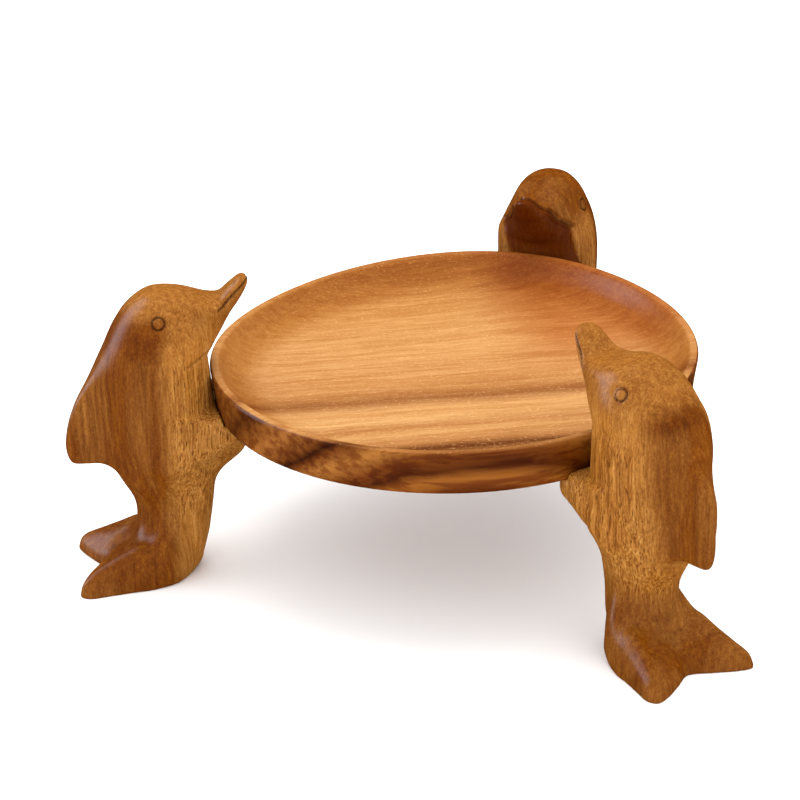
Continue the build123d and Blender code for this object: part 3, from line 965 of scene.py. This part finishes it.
def bowl_wood():
    """Golden streaked wood whose layers dip through the board."""
    g = Graph("bowl_wood_turned")
    grain = g.attribute("grain", 1)
    outside = g.attribute("outside", 2)
    cove = g.attribute("cove", 2)
    turn = {"Vector": grain, "Angle": math.radians(-6.8)}
    along = g.add("ShaderNodeVectorRotate", turn, rotation_type="Z_AXIS")
    moved = g.warp(along, (0.008, 0.02, 0.03), (0.0, 14.0, 0.0))
    moved = g.warp(moved, (0.035, 0.09, 0.09), (0.0, 2.6, 0.0))
    parts = g.add("ShaderNodeSeparateXYZ", {0: moved})
    across = parts.node.outputs[1]
    rise = g.math("SUBTRACT", parts.node.outputs[2], FLOOR_HEIGHT)
    layer = g.math("ADD", across, g.math("MULTIPLY", rise, 1.1))
    place = g.band(layer, -LAYER_REACH, LAYER_REACH)
    place.node.interpolation_type = "LINEAR"

    def stop(layer_at, *colour):
        """A ramp's mark at one layer of the board."""
        share = (layer_at + LAYER_REACH) / (2 * LAYER_REACH)
        return share, tuple(GRADE * value for value in srgb(*colour))

    colour = g.ramp(place, [
        stop(-160, 150, 92, 40), stop(-149, 200, 138, 74), stop(-143, 132, 76, 32),
        stop(-134, 152, 92, 42), stop(-122, 210, 148, 84), stop(-107, 124, 70, 32),
        stop(-100, 200, 138, 80), stop(-84, 232, 176, 112), stop(-77, 204, 142, 82),
        stop(-66, 236, 182, 118), stop(-50, 232, 176, 112), stop(-35, 168, 106, 58),
        stop(-24, 206, 146, 86), stop(-8, 224, 164, 102), stop(60, 230, 172, 108),
        stop(110, 220, 158, 92), stop(160, 202, 136, 72),
    ])
    streak = g.noise(moved, (0.010, 0.22, 0.22), 4.0, 0.6)
    fibre = g.noise(moved, (0.06, 1.1, 1.1), 3.0, 0.6)
    fleck = g.noise(moved, (0.45, 0.9, 0.9), 2.0, 0.6)
    dark = g.mix(1.0, colour, (*srgb(236, 224, 208), 1), "MULTIPLY")
    colour = g.mix(g.band(streak, 0.34, 0.66), dark, colour)
    deeper = g.mix(1.0, colour, (*srgb(238, 228, 216), 1), "MULTIPLY")
    colour = g.mix(g.band(fibre, 0.34, 0.64), deeper, colour)
    colour = g.mix(g.band(fleck, 0.56, 0.72, 0.0, 0.25), colour, (*srgb(242, 192, 130), 1))

    # a darker, redder run of wood towards one end of the board
    ends = g.add("ShaderNodeSeparateXYZ", {0: g.warp(along, (0.02, 0.02, 0.02), (30.0, 0.0, 0.0))})
    far_end = g.math("ADD", ends.node.outputs[0], g.math("MULTIPLY", ends.node.outputs[1], 0.12))
    side = g.band(ends.node.outputs[1], -20.0, 50.0)
    red = g.math("MULTIPLY", g.band(far_end, 30.0, 80.0, 0.0, 0.7), side)
    redder = g.mix(1.0, colour, (*srgb(212, 160, 112), 1), "MULTIPLY")
    colour = g.mix(red, colour, redder)

    cells = g.add("ShaderNodeTexVoronoi", {"Vector": g.stretch(moved, (0.13, 0.85, 0.85)), "Scale": 1.0})
    pore = g.band(cells, 0.11, 0.22, 1.0, 0.0)
    colour = g.mix(g.math("MULTIPLY", pore, 0.25), colour, (*srgb(120, 66, 28), 1))

    # the cove is darker than the floor and the outside took up more stain; the rim's top is left lighter, a
    # painted highlight along the rim
    coved = g.mix(1.0, colour, (*srgb(226, 206, 168), 1), "MULTIPLY")
    colour = g.mix(cove, colour, coved)
    wall = g.ramp(place, [
        stop(-160, 120, 58, 10), stop(-150, 176, 104, 34), stop(-143, 96, 44, 6),
        stop(-134, 130, 66, 12), stop(-122, 190, 122, 52), stop(-112, 132, 70, 18),
        stop(-107, 72, 32, 4), stop(-101, 130, 70, 18), stop(-84, 180, 112, 48),
        stop(-70, 144, 82, 26), stop(-58, 100, 50, 10), stop(-40, 140, 80, 26),
        stop(0, 150, 88, 34), stop(60, 128, 70, 22), stop(120, 140, 78, 26),
    ])
    wall_dark = g.mix(1.0, wall, (*srgb(200, 176, 150), 1), "MULTIPLY")
    wall = g.mix(g.band(streak, 0.38, 0.62), wall_dark, wall)
    colour = g.mix(outside, colour, wall)

    rough = g.band(fleck, 0.3, 0.7, 0.44, 0.54)
    height = g.math("SUBTRACT", g.math("MULTIPLY", fibre, 0.3), g.math("MULTIPLY", pore, 0.6))
    return g.finish(colour, rough, height, bump=0.3, coat=WOOD_COAT)


def dowel_wood():
    """Pale straight-grained wood for the hidden pins."""
    g = Graph("dowel_wood_plain")
    place = g.add("ShaderNodeTexCoord", out=3)
    millimetres = g.stretch(place, (1000.0, 1000.0, 1000.0))
    streak = g.noise(millimetres, (0.9, 0.9, 0.1), 3.0, 0.6)
    colour = g.ramp(streak, [(0.35, srgb(176, 138, 92)), (0.65, srgb(214, 182, 134))])
    return g.finish(colour, 0.6, streak, bump=0.3, coat=0.0)


# =======================================================================
# The scene
# =======================================================================

def add_camera():
    """The camera looks down at the bowl from the front."""
    pitch = math.radians(CAMERA_PITCH)
    look = Vector((0, math.cos(pitch), -math.sin(pitch)))
    level_up = Vector((0, math.sin(pitch), math.cos(pitch)))
    c, s = math.cos(CAMERA_ROLL), math.sin(CAMERA_ROLL)
    right = c * Vector((1, 0, 0)) + s * level_up
    up = c * level_up - s * Vector((1, 0, 0))
    data = bpy.data.cameras.new("camera")
    data.sensor_width = 36.0
    data.lens = CAMERA_LENS
    data.shift_x, data.shift_y = CAMERA_SHIFT
    camera = bpy.data.objects.new("camera", data)
    aim = Vector((0, 0, BOWL_TOP * MM))
    matrix = Matrix((right, up, -look)).transposed().to_4x4()
    matrix.translation = aim - look * CAMERA_DISTANCE
    camera.matrix_world = matrix
    bpy.context.collection.objects.link(camera)
    bpy.context.scene.camera = camera


def add_softbox(name, direction, distance, width, height, power, colour, lights_wood=True,
                shows_in_gloss=True):
    """An area light that faces the middle of the object."""
    data = bpy.data.lights.new(name, "AREA")
    data.shape = "RECTANGLE"
    data.size = width
    data.size_y = height
    data.energy = power
    data.color = colour
    light = bpy.data.objects.new(name, data)
    direction = Vector(direction).normalized()
    light.location = Vector(LIGHTS_AIM) + direction * distance
    light.rotation_euler = direction.to_track_quat("Z", "Y").to_euler()
    light.visible_diffuse = lights_wood
    light.visible_glossy = shows_in_gloss
    bpy.context.collection.objects.link(light)


def add_studio():
    """Pale floor, soft light all round, and softboxes: only the window shows in the gloss."""
    g = Graph("studio_floor")
    cloud = g.noise(g.add("ShaderNodeTexCoord", out=3), (1.5, 1.5, 1.5), 2.0)
    colour = g.ramp(cloud, [(0.3, (0.95, 0.95, 0.95)), (0.7, (0.96, 0.96, 0.96))])
    material = g.finish(colour, 0.7, cloud, bump=0.0, coat=0.0)
    half = FLOOR_HALF
    corners = np.array([(-half, -half, 0), (half, -half, 0), (half, half, 0), (-half, half, 0)])
    mesh = new_mesh("studio_floor", corners, [(0, 1, 2, 3)])
    mesh.materials.append(material)
    floor = bpy.data.objects.new("studio_floor", mesh)
    bpy.context.collection.objects.link(floor)
    floor.visible_glossy = False
    world = bpy.data.worlds.new("studio")
    bpy.context.scene.world = world
    world.use_nodes = True
    sky = world.node_tree.nodes["Background"]
    sky.inputs["Color"].default_value = (1.0, 1.0, 1.0, 1)
    sky.inputs["Strength"].default_value = SKY_STRENGTH
    world.cycles_visibility.glossy = False
    add_softbox("overhead", (0.05, 0.15, 1.0), 1.6, 1.3, 1.3, 17.0, (1.0, 0.985, 0.96), shows_in_gloss=False)
    add_softbox("window", (-0.86, 0.2, 0.4), 1.3, 0.7, 1.4, 34.0, (0.74, 0.83, 1.0), lights_wood=False)
    add_softbox("front", (-0.25, -1.0, 0.75), 1.8, 1.0, 1.0, 4.0, (1.0, 0.97, 0.93), shows_in_gloss=False)


bpy.context.scene.view_settings.view_transform = "Standard"
add_camera()
add_studio()

carved_wood = dolphin_wood()
turn_bowl(bowl_wood())
for which, kind in DOLPHINS.items():
    carve_dolphin(which, kind, carved_wood)

pin_wood = dowel_wood()
for name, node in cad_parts.items():
    if name.startswith(("dowel", "peg")):
        for slot in node.material_slots:
            slot.material = pin_wood
